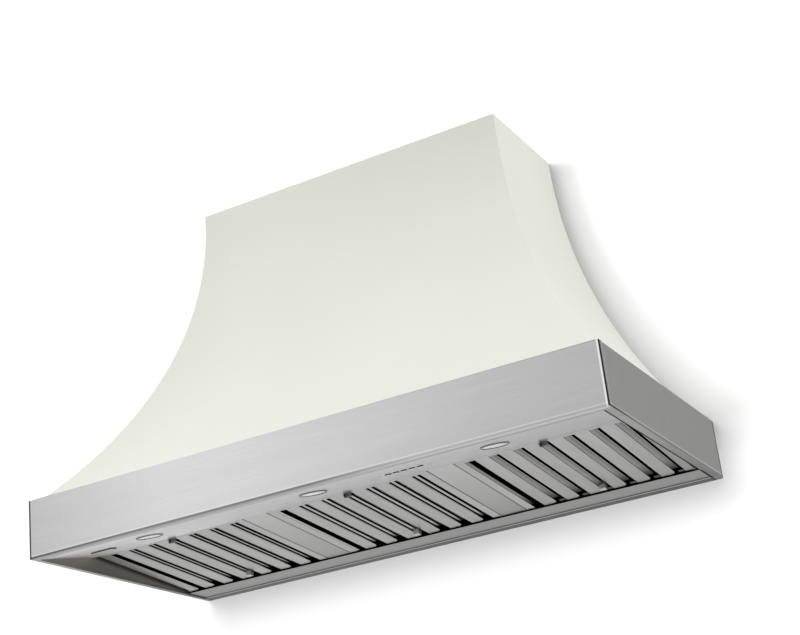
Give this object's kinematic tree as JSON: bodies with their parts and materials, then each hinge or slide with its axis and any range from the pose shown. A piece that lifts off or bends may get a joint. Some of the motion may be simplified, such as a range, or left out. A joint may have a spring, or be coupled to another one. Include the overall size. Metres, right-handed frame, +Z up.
{
  "type": "range hood",
  "caption": "Wall range hood with a flared painted canopy on a brushed steel skirt, swing-down baffle filters, lamps, push buttons, a blower and a round top duct collar",
  "frame": {"origin": "middle of the lower edge of the wall face", "axes": "+X to the right seen from the front, +Y into the wall, +Z up"},
  "size_m": [1.524, 0.75, 1.0038],
  "materials": {
    "ivory_paint": "satin ivory paint",
    "brushed_skirt": "brushed along the length",
    "zinc_sheet": "zinc coated sheet",
    "inner_steel": "brushed, unpolished",
    "filter_steel": "fine brushed",
    "lamp_trim": "satin",
    "lamp_glass": "frosted",
    "button_metal": "satin",
    "black_plastic": "matt",
    "bright_steel": "bright plated",
    "wheel_metal": "plain sheet",
    "motor_paint": "black enamel"
  },
  "bodies": {
    "hood": {"canopy_front_panel": "ivory_paint", "canopy_left_panel": "ivory_paint", "canopy_right_panel": "ivory_paint", "skirt_front": "brushed_skirt", "skirt_left": "brushed_skirt", "skirt_right": "brushed_skirt", "skirt_rear": "brushed_skirt", "control_panel": "brushed_skirt", "grease_trough": "brushed_skirt", "filler_panel_left": "brushed_skirt", "filler_panel_right": "brushed_skirt", "canopy_back_plate": "zinc_sheet", "canopy_top_plate": "zinc_sheet", "exhaust_plenum": "zinc_sheet", "duct_collar": "zinc_sheet", "blower_left_housing": "zinc_sheet", "blower_right_housing": "zinc_sheet", "motor_bracket": "zinc_sheet", "junction_box": "zinc_sheet", "lamp_cans": "zinc_sheet", "liner_left": "inner_steel", "liner_right": "inner_steel", "filter_hinge_ears": "filter_steel", "lamp_1_bezel": "lamp_trim", "lamp_1_lens": "lamp_glass", "lamp_2_bezel": "lamp_trim", "lamp_2_lens": "lamp_glass", "lamp_3_bezel": "lamp_trim", "lamp_3_lens": "lamp_glass", "badge_plate": "button_metal", "switch_block": "black_plastic", "cable_bush": "black_plastic", "panel_screws": "bright_steel", "collar_screws": "bright_steel", "blower_motor": "motor_paint"},
    "filter_left": {"filter_left_frame": "filter_steel", "filter_left_lower_baffles": "filter_steel", "filter_left_upper_baffles": "filter_steel", "filter_left_handle": "filter_steel"},
    "latch_left": {"filter_left_latch": "filter_steel"},
    "filter_middle": {"filter_middle_frame": "filter_steel", "filter_middle_lower_baffles": "filter_steel", "filter_middle_upper_baffles": "filter_steel", "filter_middle_handle": "filter_steel"},
    "latch_middle": {"filter_middle_latch": "filter_steel"},
    "filter_right": {"filter_right_frame": "filter_steel", "filter_right_lower_baffles": "filter_steel", "filter_right_upper_baffles": "filter_steel", "filter_right_handle": "filter_steel"},
    "latch_right": {"filter_right_latch": "filter_steel"},
    "button_1": {"push_button_1": "button_metal"},
    "button_2": {"push_button_2": "button_metal"},
    "button_3": {"push_button_3": "button_metal"},
    "button_4": {"push_button_4": "button_metal"},
    "button_5": {"push_button_5": "button_metal"},
    "blower_rotor": {"blower_left_wheel": "wheel_metal", "blower_right_wheel": "wheel_metal", "blower_shaft": "bright_steel"},
    "damper_front": {"damper_flap_front": "zinc_sheet"},
    "damper_rear": {"damper_flap_rear": "zinc_sheet"}
  },
  "joints": [
    {"name": "filter_left_swing", "type": "hinge", "parent": "hood", "child": "filter_left", "pos_m": [-0.512, -0.1263, 0.01], "axis": [1, 0, 0], "range_deg": [0, 70]},
    {"name": "latch_left_slide", "type": "slide", "parent": "filter_left", "child": "latch_left", "axis": [0, 0.9964, -0.0843], "range_m": [0, 0.009], "stiffness_N_per_m": 200},
    {"name": "filter_middle_swing", "type": "hinge", "parent": "hood", "child": "filter_middle", "pos_m": [0, -0.1263, 0.01], "axis": [1, 0, 0], "range_deg": [0, 70]},
    {"name": "latch_middle_slide", "type": "slide", "parent": "filter_middle", "child": "latch_middle", "axis": [0, 0.9964, -0.0843], "range_m": [0, 0.009], "stiffness_N_per_m": 200},
    {"name": "filter_right_swing", "type": "hinge", "parent": "hood", "child": "filter_right", "pos_m": [0.512, -0.1263, 0.01], "axis": [1, 0, 0], "range_deg": [0, 70]},
    {"name": "latch_right_slide", "type": "slide", "parent": "filter_right", "child": "latch_right", "axis": [0, 0.9964, -0.0843], "range_m": [0, 0.009], "stiffness_N_per_m": 200},
    {"name": "button_1_press", "type": "slide", "parent": "hood", "child": "button_1", "axis": [0, -0.184, 0.9829], "range_m": [0, 0.0025], "stiffness_N_per_m": 400},
    {"name": "button_2_press", "type": "slide", "parent": "hood", "child": "button_2", "axis": [0, -0.184, 0.9829], "range_m": [0, 0.0025], "stiffness_N_per_m": 400},
    {"name": "button_3_press", "type": "slide", "parent": "hood", "child": "button_3", "axis": [0, -0.184, 0.9829], "range_m": [0, 0.0025], "stiffness_N_per_m": 400},
    {"name": "button_4_press", "type": "slide", "parent": "hood", "child": "button_4", "axis": [0, -0.184, 0.9829], "range_m": [0, 0.0025], "stiffness_N_per_m": 400},
    {"name": "button_5_press", "type": "slide", "parent": "hood", "child": "button_5", "axis": [0, -0.184, 0.9829], "range_m": [0, 0.0025], "stiffness_N_per_m": 400},
    {"name": "blower_spin", "type": "hinge", "parent": "hood", "child": "blower_rotor", "pos_m": [0, -0.18, 0.61], "axis": [1, 0, 0], "continuous": true},
    {"name": "damper_front_swing", "type": "hinge", "parent": "hood", "child": "damper_front", "pos_m": [0, -0.185, 0.983], "axis": [-1, 0, 0], "range_deg": [0, 75]},
    {"name": "damper_rear_swing", "type": "hinge", "parent": "hood", "child": "damper_rear", "pos_m": [0, -0.175, 0.983], "axis": [1, 0, 0], "range_deg": [0, 75]}
  ]
}
